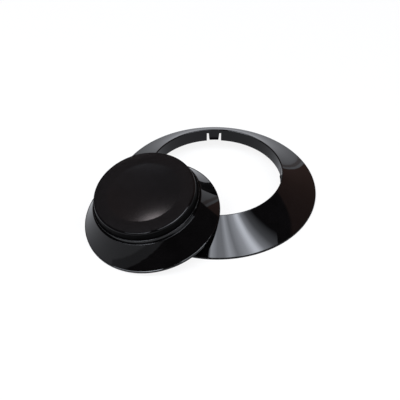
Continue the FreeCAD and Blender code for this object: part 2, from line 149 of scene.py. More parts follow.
def hollow(first, last, bend):
    """Corners on an arc from first to last that sinks towards the left of its way."""
    start = Vector(first)
    along = Vector(last) - start
    inward = along.orthogonal().normalized()
    radius = along.length / (2 * math.sin(bend / 2))
    corners = []
    for step in range(HOLLOW_STEPS + 1):
        turn = bend * (step / HOLLOW_STEPS - 0.5)
        done = radius * (math.sin(turn) + math.sin(bend / 2))
        depth = radius * (math.cos(turn) - math.cos(bend / 2))
        point = start + along.normalized() * done + inward * depth
        corners.append((point.x, point.y, 0))
    return corners


def with_ends(corners, first_rounding, last_rounding):
    """The same corners with the first and the last one rounded."""
    first, *between, last = corners
    return [(*first[:2], first_rounding), *between, (*last[:2], last_rounding)]


def held(line):
    """The same closed line with extra points on long sides, close to where the line bends."""
    points = []
    count = len(line)
    for number, here in enumerate(line):
        following = line[(number + 1) % count]
        side = following - here
        points.append(here)
        if side.length < LONG_SIDE:
            continue
        if side.angle(here - line[number - 1]) > GENTLE:
            points.append(here + side.normalized() * HOLD)
        if side.angle(line[(number + 2) % count] - following) > GENTLE:
            points.append(following - side.normalized() * HOLD)
    return points


def sweep(maker, corners, span=None):
    """Turn an outline about Z, all the way or over a span of (first, last) angles."""
    first, last = span or (0, 2 * math.pi)
    steps = max(3, math.ceil(AROUND * (last - first) / (2 * math.pi)))
    columns = steps + 1 if span else steps
    angles = [first + (last - first) * column / steps for column in range(columns)]
    rings = []
    for point in held(rounded(corners)):
        radius, height = point * MM
        if radius < ON_AXIS:
            rings.append([maker.verts.new((0, 0, height))])
        else:
            rings.append([maker.verts.new((radius * math.cos(a), radius * math.sin(a), height))
                          for a in angles])
    for ring, other in zip(rings, rings[1:] + rings[:1]):
        if len(ring) == 1 and len(other) == 1:
            continue
        for step in range(steps):
            after = (step + 1) % columns
            quad = (ring[step % len(ring)], ring[after % len(ring)],
                    other[after % len(other)], other[step % len(other)])
            maker.faces.new(list(dict.fromkeys(quad)))
    if span:
        maker.faces.new([ring[0] for ring in rings])
        maker.faces.new([ring[-1] for ring in rings])


def prism(maker, corners, near, far, turn):
    """A bar between two distances along X, with a section of (y, z, rounding), turned about Z."""
    spin = Matrix.Rotation(turn, 4, "Z")
    ends = []
    for along in (near, far):
        ends.append([maker.verts.new(spin @ Vector((along, point.x, point.y)) * MM)
                     for point in rounded(corners)])
    count = len(ends[0])
    for side in range(count):
        after = (side + 1) % count
        maker.faces.new((ends[0][side], ends[0][after], ends[1][after], ends[1][side]))
    maker.faces.new(ends[0])
    maker.faces.new(ends[1])


def shade(mesh):
    """Shade a mesh smooth, apart from its sharp edges."""
    mesh.polygons.foreach_set("use_smooth", [True] * len(mesh.polygons))
    mesh.set_sharp_from_angle(angle=SHARP_ANGLE)


def build(name, maker, place):
    """An object from a bmesh that was drawn in the frame of place."""
    bmesh.ops.recalc_face_normals(maker, faces=maker.faces)
    mesh = bpy.data.meshes.new(name)
    maker.to_mesh(mesh)
    maker.free()
    shade(mesh)
    piece = bpy.data.objects.new(name, mesh)
    scene.collection.objects.link(piece)
    piece.matrix_world = place
    return piece


def turned(name, corners, place, span=None):
    """A piece turned from an outline, all the way round or over a span."""
    maker = bmesh.new()
    sweep(maker, corners, span)
    return build(name, maker, place)


def combine(piece, maker, operation):
    """Cut a tool's solid from a piece, or join it on, and drop the tool."""
    tool = build("tool", maker, piece.matrix_world)
    modifier = piece.modifiers.new("combine", "BOOLEAN")
    modifier.operation = operation
    modifier.solver = "EXACT"
    modifier.object = tool
    seen = bpy.context.evaluated_depsgraph_get()
    mesh = bpy.data.meshes.new_from_object(piece.evaluated_get(seen))
    piece.modifiers.clear()
    piece.data = mesh
    mesh.name = piece.name
    shade(mesh)
    bpy.data.objects.remove(tool)


def around(count, turn=0.0):
    """Evenly spaced angles, the first one at turn."""
    return [turn + 2 * math.pi * number / count for number in range(count)]


# ---- Materials -------------------------------------------------------------------------------

def fill_ramp(ramp, stops):
    """Set a colour ramp node to greys through stops of (position, value)."""
    elements = ramp.color_ramp.elements
    while len(elements) < len(stops):
        elements.new(0.5)
    for element, (position, value) in zip(elements, stops):
        element.position = position
        element.color = (value, value, value, 1)


# Noise seldom leaves this span, so values and colours run from end to end within it.
NOISE_LOW, NOISE_HIGH = 0.3, 0.7


class Finish:
    """A procedural material round one Principled shader."""

    def __init__(self, name, **sockets):
        self.material = bpy.data.materials.new(name)
        self.material.use_nodes = True
        self.tree = self.material.node_tree
        self.shader = self.tree.nodes["Principled BSDF"]
        for socket, value in sockets.items():
            self.shader.inputs[socket.replace("_", " ")].default_value = value

    def node(self, kind, **settings):
        made = self.tree.nodes.new(kind)
        for key, value in settings.items():
            setattr(made, key, value)
        return made

    def link(self, source, target):
        self.tree.links.new(source, target)

    def coordinates(self):
        return self.node("ShaderNodeTexCoord").outputs["Object"]

    def noise(self, scale, detail, where=None, stretch=None):
        """Noise with scale in waves to the metre."""
        where = where or self.coordinates()
        if stretch:
            mapping = self.node("ShaderNodeMapping")
            mapping.inputs["Scale"].default_value = stretch
            self.link(where, mapping.inputs["Vector"])
            where = mapping.outputs["Vector"]
        texture = self.node("ShaderNodeTexNoise")
        texture.inputs["Scale"].default_value = scale
        texture.inputs["Detail"].default_value = detail
        self.link(where, texture.inputs["Vector"])
        return texture.outputs["Fac"]

    def bearing(self):
        """The direction of a point from the piece's axis, as a vector of length 1."""
        flat = self.node("ShaderNodeVectorMath", operation="MULTIPLY")
        flat.inputs[1].default_value = (1, 1, 0)
        self.link(self.coordinates(), flat.inputs[0])
        unit = self.node("ShaderNodeVectorMath", operation="NORMALIZE")
        self.link(flat.outputs["Vector"], unit.inputs[0])
        return unit.outputs["Vector"]

    def spread(self, source, low, high, start=NOISE_LOW, end=NOISE_HIGH):
        """A value that runs from low to high as source runs from start to end."""
        ramp = self.node("ShaderNodeMapRange")
        for key, value in (("From Min", start), ("From Max", end),
                           ("To Min", low), ("To Max", high)):
            ramp.inputs[key].default_value = value
        self.link(source, ramp.inputs["Value"])
        return ramp.outputs["Result"]

    def tint(self, source, dark, light):
        """Base colour that runs from dark to light with source."""
        ramp = self.node("ShaderNodeValToRGB")
        first, last = ramp.color_ramp.elements
        first.position = NOISE_LOW
        first.color = (*dark, 1)
        last.position = NOISE_HIGH
        last.color = (*light, 1)
        self.link(source, ramp.inputs["Fac"])
        self.link(ramp.outputs["Color"], self.shader.inputs["Base Color"])

    def rough(self, source, low, high):
        self.link(self.spread(source, low, high), self.shader.inputs["Roughness"])

    def bump(self, *layers):
        """Relief from layers of (source, height in metres)."""
        normal = None
        for source, height in layers:
            relief = self.node("ShaderNodeBump")
            relief.inputs["Strength"].default_value = 1.0
            relief.inputs["Distance"].default_value = height
            self.link(source, relief.inputs["Height"])
            if normal:
                self.link(normal, relief.inputs["Normal"])
            normal = relief.outputs["Normal"]
        self.link(normal, self.shader.inputs["Normal"])


PLASTIC_IOR = 1.47
NYLON_IOR = 1.53
RUBBER_IOR = 1.5


def gloss_plastic(name, dark, light, low, high, waviness):
    """Mirror-smooth moulding: faint flow marks that run outwards from the axis, and a soft wave."""
    finish = Finish(name, IOR=PLASTIC_IOR)
    finish.tint(finish.noise(scale=160, detail=3), dark, light)
    finish.rough(finish.noise(scale=420, detail=4), low, high)
    flow_marks = finish.noise(scale=9, detail=4, where=finish.bearing())
    waves = finish.noise(scale=140, detail=1)
    grain = finish.noise(scale=9000, detail=2)
    finish.bump((flow_marks, waviness), (waves, waviness), (grain, 0.02 * MICRON))
    return finish.material


def satin_plastic(name, dark, light, low, high, grain_depth, specular=0.5):
    """Fine spark-eroded grain on a moulded face."""
    finish = Finish(name, IOR=PLASTIC_IOR, Specular_IOR_Level=specular)
    finish.tint(finish.noise(scale=240, detail=4), dark, light)
    finish.rough(finish.noise(scale=700, detail=5), low, high)
    grain = finish.noise(scale=14000, detail=3)
    waves = finish.noise(scale=90, detail=1)
    finish.bump((grain, grain_depth), (waves, 4 * MICRON))
    return finish.material


def fibre_nylon(name, dark, light):
    """Glass-filled nylon: pale flecks drawn out along the flow, and a dull skin."""
    finish = Finish(name, IOR=NYLON_IOR)
    flecks = finish.noise(scale=2600, detail=2, stretch=(1, 0.2, 1))
    finish.tint(flecks, dark, light)
    finish.rough(finish.noise(scale=900, detail=4), low=0.42, high=0.62)
    pores = finish.noise(scale=9000, detail=3)
    finish.bump((flecks, 4 * MICRON), (pores, 3 * MICRON))
    return finish.material


def rubber(name, dark, light):
    """Moulded rubber with a bloom of dust and fine pitting."""
    finish = Finish(name, IOR=RUBBER_IOR)
    bloom = finish.noise(scale=500, detail=5)
    finish.tint(bloom, dark, light)
    finish.rough(bloom, low=0.7, high=0.9)
    pits = finish.noise(scale=11000, detail=3)
    finish.bump((pits, 6 * MICRON))
    return finish.material


def metal(name, dark, light, low, high, stretch):
    """Drawn, turned or plated metal with fine lines along the way it was worked."""
    finish = Finish(name, Metallic=1.0)
    lines = finish.noise(scale=4200, detail=4, stretch=stretch)
    finish.tint(lines, dark, light)
    finish.rough(finish.noise(scale=1500, detail=3), low, high)
    finish.bump((lines, 2 * MICRON))
    return finish.material


# Colours are linear, the darkest and the lightest. Roughness runs from low to high.
FINISHES = {
    "gloss_black": gloss_plastic(
        "gloss_black", (0.0010, 0.0009, 0.0010), (0.0022, 0.0019, 0.0021),
        low=0.01, high=0.03, waviness=5 * MICRON),
    "step_black": gloss_plastic(
        "step_black", (0.0014, 0.0014, 0.0015), (0.0026, 0.0025, 0.0026),
        low=0.06, high=0.12, waviness=3 * MICRON),
    "satin_black": satin_plastic(
        "satin_black", (0.0044, 0.0038, 0.0039), (0.0056, 0.0049, 0.0050),
        low=0.18, high=0.21, grain_depth=0.3 * MICRON),
    # The cap's side: a darker, almost unreflecting copy of the cap's black (specular level 0.06). This is painted
    # shade for the dark that its side shows, with a rougher grain than its face.
    "cap_side_shaded_black": satin_plastic(
        "cap_side_shaded_black", (0.0010, 0.0009, 0.0009), (0.0020, 0.0018, 0.0018),
        low=0.45, high=0.6, grain_depth=2 * MICRON, specular=0.06),
    "nylon_black": fibre_nylon("nylon_black", (0.016, 0.016, 0.017), (0.032, 0.032, 0.034)),
    "nylon_white": satin_plastic(
        "nylon_white", (0.66, 0.65, 0.60), (0.76, 0.75, 0.71),
        low=0.35, high=0.45, grain_depth=2 * MICRON),
    "rubber_black": rubber("rubber_black", (0.010, 0.010, 0.010), (0.024, 0.024, 0.023)),
    "rubber_grey": rubber("rubber_grey", (0.085, 0.086, 0.090), (0.14, 0.14, 0.145)),
    "spring_steel": metal(
        "spring_steel", (0.40, 0.40, 0.42), (0.60, 0.60, 0.62),
        low=0.22, high=0.34, stretch=(1, 1, 0.1)),
    "screw_steel": metal(
        "screw_steel", (0.50, 0.51, 0.54), (0.66, 0.67, 0.70),
        low=0.25, high=0.38, stretch=(1, 1, 1)),
    "brass": metal(
        "brass", (0.55, 0.38, 0.14), (0.80, 0.60, 0.28),
        low=0.18, high=0.30, stretch=(0.1, 0.1, 3)),
}


def dress(piece, slot, body=None, nodes=()):
    """Give a piece its finish and, if it isn't a CAD node, its body and the nodes it replaces."""
    if len(piece.material_slots) == 0:
        piece.data.materials.append(FINISHES[slot])
    for place in piece.material_slots:
        place.material = FINISHES[slot]
    if body:
        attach(piece, body)
        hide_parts(*nodes)


# ---- Trim ring -------------------------------------------------------------------------------

RING_RADIUS, RING_LOW, RING_TOP = extent("trim_ring", RING)
RING_LIP = 0.9
RING_WALL_DROP = 1.85
HOLE_RADIUS = 24.75
CREST_WIDTH = 0.4
SKIRT_WALL = 1.2
SKIRT_BOTTOM = 4.55
FOOT_INNER = 34.8
# A seal's groove: inner and outer radius, and top.
SEAL_GROOVE = (35.5, 37.2, 1.1)
# Slack between a loose piece and the groove that holds it.
SLACK = 0.05
SEAL_HEAD_SLACK = 0.02
SEAL_FLANGE_SLACK = 0.01
SEAL_FLANGE_RADIUS = 37.9
RING_BEND = math.radians(11)
FINGER_COUNT = 4
FINGER_TURN = math.radians(1.5)
FINGER_HALF_WIDTH = 1.97
FINGER_TAPER = 0.17
FINGER_RAISE = 0.65
FINGER_END = SKIRT_BOTTOM + FINGER_RAISE
SLIT_WIDTH = 0.8
SLIT_TOP = 8.9
# The slits stop just behind the skirt, inside the hollow of the cone.
SLIT_PAST_SKIRT = 0.03
HOOK_REACH = 0.45
HOOK_RISE = 0.9
HOOK_TIP = 0.3
HOOK_ROOT = 0.3
HOOK_LIFT = 0.02
HOOK_SINK = 0.01
HOOK_HALF_SPAN = math.radians(4.032)


def under_cone(radius):
    """Height of the underside of the ring's conical wall."""
    slope = (RING_TOP - RING_LIP) / (RING_RADIUS - HOLE_RADIUS - CREST_WIDTH)
    return RING_LIP + (RING_RADIUS - radius) * slope - RING_WALL_DROP


def make_trim_ring():
    """The ring's shell with its four snap fingers, and its gasket."""
    skirt_outer = HOLE_RADIUS + SKIRT_WALL
    groove_inner, groove_outer, groove_top = SEAL_GROOVE
    ring = turned("trim_ring_shell", [
        (RING_RADIUS, RING_LOW, 0.12),
        *with_ends(hollow((RING_RADIUS, RING_LIP), (HOLE_RADIUS + CREST_WIDTH, RING_TOP), RING_BEND),
                   first_rounding=0.3, last_rounding=0.25),
        (HOLE_RADIUS, RING_TOP, 0.3),
        (HOLE_RADIUS, SKIRT_BOTTOM, 0.15),
        (skirt_outer, SKIRT_BOTTOM, 0.15),
        (skirt_outer, under_cone(skirt_outer), 0.3),
        (FOOT_INNER, under_cone(FOOT_INNER), 0.3),
        (FOOT_INNER, RING_LOW, 0.1),
        (groove_inner, RING_LOW, 0.05),
        (groove_inner, groove_top, 0),
        (groove_outer, groove_top, 0),
        (groove_outer, RING_LOW, 0.05),
    ], RING)
    slits = bmesh.new()
    hooks = bmesh.new()
    high = FINGER_HALF_WIDTH + FINGER_TAPER
    low = FINGER_HALF_WIDTH - FINGER_TAPER
    outer = FINGER_HALF_WIDTH + SLIT_WIDTH
    for turn in around(FINGER_COUNT, FINGER_TURN):
        prism(slits, [
            (-outer, SKIRT_BOTTOM - CUT_MARGIN, 0),
            (outer, SKIRT_BOTTOM - CUT_MARGIN, 0),
            (outer, SLIT_TOP, 0.2),
            (high, SLIT_TOP, 0.15),
            (low, FINGER_END, 0.25),
            (-low, FINGER_END, 0.25),
            (-high, SLIT_TOP, 0.15),
            (-outer, SLIT_TOP, 0.2),
        ], HOLE_RADIUS - CUT_MARGIN, skirt_outer + SLIT_PAST_SKIRT, turn)
        sweep(hooks, [
            (HOLE_RADIUS + HOOK_ROOT, FINGER_END + HOOK_LIFT, 0),
            (HOLE_RADIUS - HOOK_REACH, FINGER_END + HOOK_LIFT, 0.1),
            (HOLE_RADIUS - HOOK_REACH, FINGER_END + HOOK_TIP, 0.1),
            (HOLE_RADIUS - HOOK_SINK, FINGER_END + HOOK_RISE, 0),
            (HOLE_RADIUS + HOOK_ROOT, FINGER_END + HOOK_RISE, 0),
        ], (turn - HOOK_HALF_SPAN, turn + HOOK_HALF_SPAN))
    combine(ring, slits, "DIFFERENCE")
    combine(ring, hooks, "UNION")
    dress(ring, "gloss_black", "trim_ring", ["trim_ring"])

    seal = turned("trim_ring_seal", [
        (groove_inner + SLACK, 0, 0.12),
        (SEAL_FLANGE_RADIUS, 0, 0.1),
        (SEAL_FLANGE_RADIUS, RING_LOW - SEAL_FLANGE_SLACK, 0.05),
        (groove_outer - SLACK, RING_LOW - SEAL_FLANGE_SLACK, 0),
        (groove_outer - SLACK, groove_top - SEAL_HEAD_SLACK, 0.05),
        (groove_inner + SLACK, groove_top - SEAL_HEAD_SLACK, 0.05),
    ], RING)
    dress(seal, "rubber_black", "trim_ring", ["trim_ring_gasket"])


# ---- Button unit -----------------------------------------------------------------------------

BEZEL_RADIUS, BEZEL_LOW, BEZEL_TOP = extent("bezel", UNIT)
BEZEL_LIP = 0.9
BEZEL_TOP_RADIUS = 19.95
BEZEL_WALL = 1.75
BEZEL_FOOT_INNER = 22.9
HOUSING_BORE = 19.5
# The clip's groove: bottom, top and depth.
CLIP_GROOVE = (3.4, 4.2, 0.5)
CLIP_INNER = 20.2
CLIP_HALF_SPAN = math.radians(168)
# The rim seal's groove: inner and outer radius, and top.
RIM_SEAL = (23.3, 24.4, 0.7)
BEZEL_BEND = math.radians(9.5)
# The small ledge between the lip and the cone: width and rise.
BEZEL_LEDGE = (0.22, 0.07)
HOUSING_TOP = extent("inner_housing", UNIT)[2]
CAP_BORE = 19.0
BASE_TOP = 5.1


def bezel_inside(height):
    """Radius of the bezel's inner wall."""
    slope = (BEZEL_RADIUS - BEZEL_TOP_RADIUS) / (BEZEL_TOP - BEZEL_LIP)
    return BEZEL_RADIUS - BEZEL_WALL - (height - BEZEL_LIP) * slope


def height_inside(radius):
    """Height at which the bezel's inner wall has a radius."""
    slope = (BEZEL_RADIUS - BEZEL_TOP_RADIUS) / (BEZEL_TOP - BEZEL_LIP)
    return BEZEL_LIP + (BEZEL_RADIUS - BEZEL_WALL - radius) / slope


def make_bezel():
    """The button unit's conical shell, its rim seal and the clip that snaps into it."""
    groove_low, groove_high, groove_depth = CLIP_GROOVE
    groove_outer = bezel_inside(groove_high) + groove_depth
    seal_inner, seal_outer, seal_top = RIM_SEAL
    ledge_width, ledge_rise = BEZEL_LEDGE
    bezel = turned("bezel_shell", [
        (BEZEL_RADIUS, BEZEL_LOW, 0.12),
        (BEZEL_RADIUS, BEZEL_LIP, 0.12),
        *with_ends(hollow((BEZEL_RADIUS - ledge_width, BEZEL_LIP + ledge_rise),
                          (BEZEL_TOP_RADIUS, BEZEL_TOP), BEZEL_BEND),
                   first_rounding=0.05, last_rounding=0.12),
        (HOUSING_BORE, BEZEL_TOP, 0.1),
        (HOUSING_BORE, height_inside(HOUSING_BORE), 0),
        (bezel_inside(groove_high), groove_high, 0),
        (groove_outer, groove_high, 0.08),
        (groove_outer, groove_low, 0.08),
        (bezel_inside(groove_low), groove_low, 0),
        (BEZEL_FOOT_INNER, height_inside(BEZEL_FOOT_INNER), 0.15),
        (BEZEL_FOOT_INNER, BEZEL_LOW, 0.08),
        (seal_inner, BEZEL_LOW, 0.05),
        (seal_inner, seal_top, 0),
        (seal_outer, seal_top, 0),
        (seal_outer, BEZEL_LOW, 0.05),
    ], UNIT)
    dress(bezel, "gloss_black", "button_unit", ["bezel"])

    seal = turned("bezel_seal", [
        (seal_inner + SLACK, 0, 0.1),
        (seal_outer - SLACK, 0, 0.1),
        (seal_outer - SLACK, seal_top, 0.05),
        (seal_inner + SLACK, seal_top, 0.05),
    ], UNIT)
    dress(seal, "rubber_black", "button_unit", ["bezel_gasket"])

    clip = turned("snap_ring", [
        (CLIP_INNER, groove_low + SLACK, 0.1),
        (groove_outer - SLACK, groove_low + SLACK, 0.1),
        (groove_outer - SLACK, groove_high - SLACK, 0.1),
        (CLIP_INNER, groove_high - SLACK, 0.1),
    ], UNIT, (-CLIP_HALF_SPAN, CLIP_HALF_SPAN))
    dress(clip, "spring_steel", "button_unit", ["retaining_clip"])


WINDOW_COUNT = 3
WINDOW_HALF_WIDTH = 2.4
WINDOW_TOP = 9.1
WINDOW_REACH = 19.65
# The groove of the housing's seal: inner radius, bottom and height.
HOUSING_SEAL = (19.95, 5.6, 0.7)
SLEEVE_SLACK = 0.04


def make_housing():
    """The sleeve that guides the cap, with a window for each of the cap's legs."""
    outer = HOUSING_BORE - SLEEVE_SLACK
    seal_inner, seal_low, seal_height = HOUSING_SEAL
    housing = turned("guide_sleeve", [
        (CAP_BORE, HOUSING_TOP, 0.12),
        (outer, HOUSING_TOP, 0.12),
        (outer, height_inside(HOUSING_BORE), 0),
        (bezel_inside(seal_low + seal_height) - SLEEVE_SLACK, seal_low + seal_height, 0),
        (seal_inner, seal_low + seal_height, 0),
        (seal_inner, seal_low, 0),
        (bezel_inside(seal_low) - SLEEVE_SLACK, seal_low, 0),
        (bezel_inside(BASE_TOP) - SLEEVE_SLACK, BASE_TOP, 0),
        (CAP_BORE, BASE_TOP, 0),
    ], UNIT)
    windows = bmesh.new()
    for turn in around(WINDOW_COUNT):
        prism(windows, [
            (-WINDOW_HALF_WIDTH, BASE_TOP - CUT_MARGIN, 0),
            (WINDOW_HALF_WIDTH, BASE_TOP - CUT_MARGIN, 0),
            (WINDOW_HALF_WIDTH, WINDOW_TOP, 0.3),
            (-WINDOW_HALF_WIDTH, WINDOW_TOP, 0.3),
        ], CAP_BORE - CUT_MARGIN, WINDOW_REACH, turn)
    combine(housing, windows, "DIFFERENCE")
    dress(housing, "step_black", "button_unit", ["inner_housing"])


# ---- Button cap ------------------------------------------------------------------------------

CAP_TOP = extent("button_cap", UNIT)[2]
CAP_RADIUS = 18.9
CAP_EDGE_RADIUS = 18.5
CAP_EDGE_ROUNDING = 0.7
CAP_DRAFT_START = 11.8
CAP_BOTTOM = 8.3
CAP_WALL = 1.35
CAP_ROOF = 1.4
# Under the roof: radius and height of the spring's seat, radius and depth of the pusher's hole.
CAP_SEAT = (12.3, 12.1)
PIN_HOLE = (1.4, 0.8)
DISH_DEPTH = 1.2
DISH_STEPS = 20
# The dish's arc ends a little below the cap's face, at a steeper lip: (radius, depth there).
DISH_ARC_END = (12.3, 0.17)
DISH_ARC_ROUNDING = 1.5
DISH_LIP_RADIUS = 13.3
DISH_LIP_ROUNDING = 3.0
CROWN_START = 14.3
CROWN_DROP = 0.18
# Outside this radius the cap is polished, and from some way below its face it is matte and darker, almost without
# reflection: painted shade on its side.
CAP_SIDE_INNER = 17.9
CAP_POLISH_DEPTH = 0.98
CAP_SIDE_TOP = CAP_TOP - CAP_POLISH_DEPTH
# Slits beside each of the cap's legs: distance from the middle, width and top.
LEG_SLIT = (2.1, 0.6, 11.0)
# Hook at the foot of each leg: radius, height and half its span.
LEG_HOOK = (19.35, 0.7, math.radians(5.5))
LEG_HOOK_ROOT = 0.3
LEG_HOOK_STEP = 0.1
LEG_HOOK_LIFT = 0.01


def dish_points():
    """The dish's arc, from the middle outwards, as corners without rounding."""
    end, below = DISH_ARC_END
    depth = DISH_DEPTH - below
    radius = (end ** 2 + depth ** 2) / (2 * depth)
    reach = math.asin(end / radius)
    points = []
    for step in range(DISH_STEPS):
        turn = reach * step / DISH_STEPS
        rise = radius * (1 - math.cos(turn))
        points.append((radius * math.sin(turn), CAP_TOP - DISH_DEPTH + rise, 0))
    return points + [(end, CAP_TOP - below, DISH_ARC_ROUNDING),
                     (DISH_LIP_RADIUS, CAP_TOP, DISH_LIP_ROUNDING)]


def crown_points():
    """The cap's face outside the dish: flat, then falling off gently to its rounded edge."""
    edge = (CAP_EDGE_RADIUS, CAP_TOP - CROWN_DROP)
    bend = 2 * math.atan(CROWN_DROP / (CAP_EDGE_RADIUS - CROWN_START))
    return with_ends(hollow((CROWN_START, CAP_TOP), edge, bend),
                     first_rounding=0, last_rounding=CAP_EDGE_ROUNDING)


def make_cap():
    """The cap with its dish, its skirt and three hooked legs."""
    skirt_inner = CAP_RADIUS - CAP_WALL
    seat_radius, seat_height = CAP_SEAT
    pin_radius, pin_depth = PIN_HOLE
    outline = dish_points() + crown_points() + [
        (CAP_RADIUS, CAP_DRAFT_START, 0.5),
        (CAP_RADIUS, CAP_BOTTOM, 0),
        (skirt_inner, CAP_BOTTOM, 0),
        (skirt_inner, CAP_TOP - CAP_ROOF, 0.4),
        (seat_radius, CAP_TOP - CAP_ROOF, 0),
        (seat_radius, seat_height, 0),
        (pin_radius, seat_height, 0),
        (pin_radius, seat_height + pin_depth, 0),
        (0, seat_height + pin_depth, 0),
    ]
    cap = turned("push_cap", outline, UNIT)
    slit_start, slit_width, slit_top = LEG_SLIT
    hook_radius, hook_height, hook_half_span = LEG_HOOK
    slits = bmesh.new()
    hooks = bmesh.new()
    for turn in around(WINDOW_COUNT):
        for side in (-1, 1):
            near = side * slit_start
            far = side * (slit_start + slit_width)
            prism(slits, [
                (near, CAP_BOTTOM - CUT_MARGIN, 0),
                (far, CAP_BOTTOM - CUT_MARGIN, 0),
                (far, slit_top, 0.2),
                (near, slit_top, 0.2),
            ], skirt_inner - CUT_MARGIN, CAP_RADIUS + CUT_MARGIN, turn)
        sweep(hooks, [
            (CAP_RADIUS - LEG_HOOK_ROOT, CAP_BOTTOM + LEG_HOOK_LIFT, 0),
            (CAP_RADIUS + LEG_HOOK_STEP, CAP_BOTTOM + LEG_HOOK_LIFT, 0),
            (hook_radius, CAP_BOTTOM + hook_height / 2, 0),
            (hook_radius, CAP_BOTTOM + hook_height, 0),
            (CAP_RADIUS - LEG_HOOK_ROOT, CAP_BOTTOM + hook_height, 0),
        ], (turn - hook_half_span, turn + hook_half_span))
    combine(cap, slits, "DIFFERENCE")
    combine(cap, hooks, "UNION")
    dress(cap, "satin_black", "button", ["button_cap"])
    cap.data.materials.append(FINISHES["cap_side_shaded_black"])
    cap.data.materials.append(FINISHES["gloss_black"])
    shaded_matte_side, polished = 1, 2
    # Side faces below the polished band take the painted-shade black, the rest of the edge stays polished.
    for face in cap.data.polygons:
        place = face.center / MM
        if place.xy.length > CAP_SIDE_INNER:
            face.material_index = shaded_matte_side if place.z < CAP_SIDE_TOP else polished


# ---- Spring and bellows ----------------------------------------------------------------------

SPRING_RADIUS = 11.0
SPRING_WIRE = 0.35
SPRING_TURNS = 2.5
SPRING_STEPS = 240
SPRING_SIDES = 16
# The bellows' foot: radius and height.
BELLOWS_FOOT = (9.0, 0.7)
BELLOWS_CREST = 8.3
BELLOWS_ROOT = 6.9
BELLOWS_WALL = 0.6
BELLOWS_LAND = 0.3
BELLOWS_SLOPES = 4


def squash_with_press(piece):
    """Give a piece its own copy of its mesh."""
    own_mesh(piece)


def make_spring():
    """A coil of round wire."""
    low, high = extent("return_spring", UNIT)[1:]
    rise = high - low - 2 * SPRING_WIRE
    maker = bmesh.new()
    rings = []
    for step in range(SPRING_STEPS + 1):
        share = step / SPRING_STEPS
        spin = Matrix.Rotation(2 * math.pi * SPRING_TURNS * share, 4, "Z")
        height = low + SPRING_WIRE + rise * share
        ring = []
        for angle in around(SPRING_SIDES):
            point = Vector((SPRING_RADIUS + SPRING_WIRE * math.cos(angle), 0,
                            height + SPRING_WIRE * math.sin(angle)))
            ring.append(maker.verts.new(spin @ point * MM))
        rings.append(ring)
    for ring, other in zip(rings, rings[1:]):
        for side in range(SPRING_SIDES):
            after = (side + 1) % SPRING_SIDES
            maker.faces.new((ring[side], ring[after], other[after], other[side]))
    maker.faces.new(rings[0])
    maker.faces.new(rings[-1])
    spring = build("coil_spring", maker, UNIT)
    dress(spring, "spring_steel", "button_unit", ["return_spring"])
    squash_with_press(spring)


def make_bellows():
    """The bellows: a flat foot, folds and a closed top."""
    foot_radius, foot_height = BELLOWS_FOOT
    low, high = extent("bellows", UNIT)[1:]
    fold_start = low + foot_height + BELLOWS_LAND
    step = (high - BELLOWS_LAND - fold_start) / BELLOWS_SLOPES
    folds = [(BELLOWS_CREST if number % 2 else BELLOWS_ROOT, fold_start + number * step)
             for number in range(BELLOWS_SLOPES + 1)]
    root_inside = BELLOWS_ROOT - BELLOWS_WALL
    bellows = turned("air_bellows", [
        (foot_radius, low, 0.1),
        (foot_radius, low + foot_height, 0.15),
        (BELLOWS_ROOT, low + foot_height, 0.1),
        *((radius, height, 0.12) for radius, height in folds),
        (BELLOWS_ROOT, high, 0.12),
        (0, high, 0),
        (0, high - BELLOWS_WALL, 0),
        (root_inside, high - BELLOWS_WALL, 0.1),
        *((radius - BELLOWS_WALL, height, 0.1) for radius, height in folds[-2::-1]),
        (root_inside, low, 0),
    ], UNIT)
    dress(bellows, "rubber_grey", "button_unit", ["bellows"])
    squash_with_press(bellows)


# ---- Stage, light and camera -----------------------------------------------------------------

CAMERA_PLACE = Vector((-5.96, -359.7, 312.2)) * MM
CAMERA_PITCH = math.radians(41.40)
CAMERA_ROLL = math.radians(0.38)
CAMERA_LENS = 112.5
SENSOR_WIDTH = 36
CLIP_START = 0.01
FLOOR_HALF = 3.0
FLOOR_DROP = 0.02 * MM
FLOOR_COLOUR = (0.10, 0.10, 0.10, 1)
# How much the floor shines for the camera and for everything else.
FLOOR_SEEN = 0.88
FLOOR_LIT = 0.46


def make_camera():
    """A long lens that looks down on the two pieces from the front."""
    camera = bpy.data.objects.new("camera", bpy.data.cameras.new("camera"))
    scene.collection.objects.link(camera)
    camera.data.lens = CAMERA_LENS
    camera.data.sensor_width = SENSOR_WIDTH
    camera.data.clip_start = CLIP_START
    tilt = Matrix.Rotation(math.radians(90) - CAMERA_PITCH, 4, "X")
    roll = Matrix.Rotation(CAMERA_ROLL, 4, "Z")
    camera.matrix_world = Matrix.Translation(CAMERA_PLACE) @ tilt @ roll
    scene.camera = camera


def make_floor():
    """A pale sheet that mostly shines by itself, so that shadows on it stay faint.

    Mirror reflections don't see it: they see the room's own pale ground.
    """
    finish = Finish("floor_white", Base_Color=FLOOR_COLOUR, Roughness=0.9,
                    Specular_IOR_Level=0.0, Emission_Color=(1.0, 1.0, 1.0, 1))
    path = finish.node("ShaderNodeLightPath")
    glow = finish.spread(path.outputs["Is Camera Ray"], FLOOR_LIT, FLOOR_SEEN, 0, 1)
    finish.link(glow, finish.shader.inputs["Emission Strength"])
    maker = bmesh.new()
    bmesh.ops.create_grid(maker, x_segments=8, y_segments=8, size=FLOOR_HALF)
    floor = build("floor", maker, Matrix.Translation((0, 0, cad_box[0][2] - FLOOR_DROP)))
    floor.data.materials.append(finish.material)
    floor.visible_glossy = False


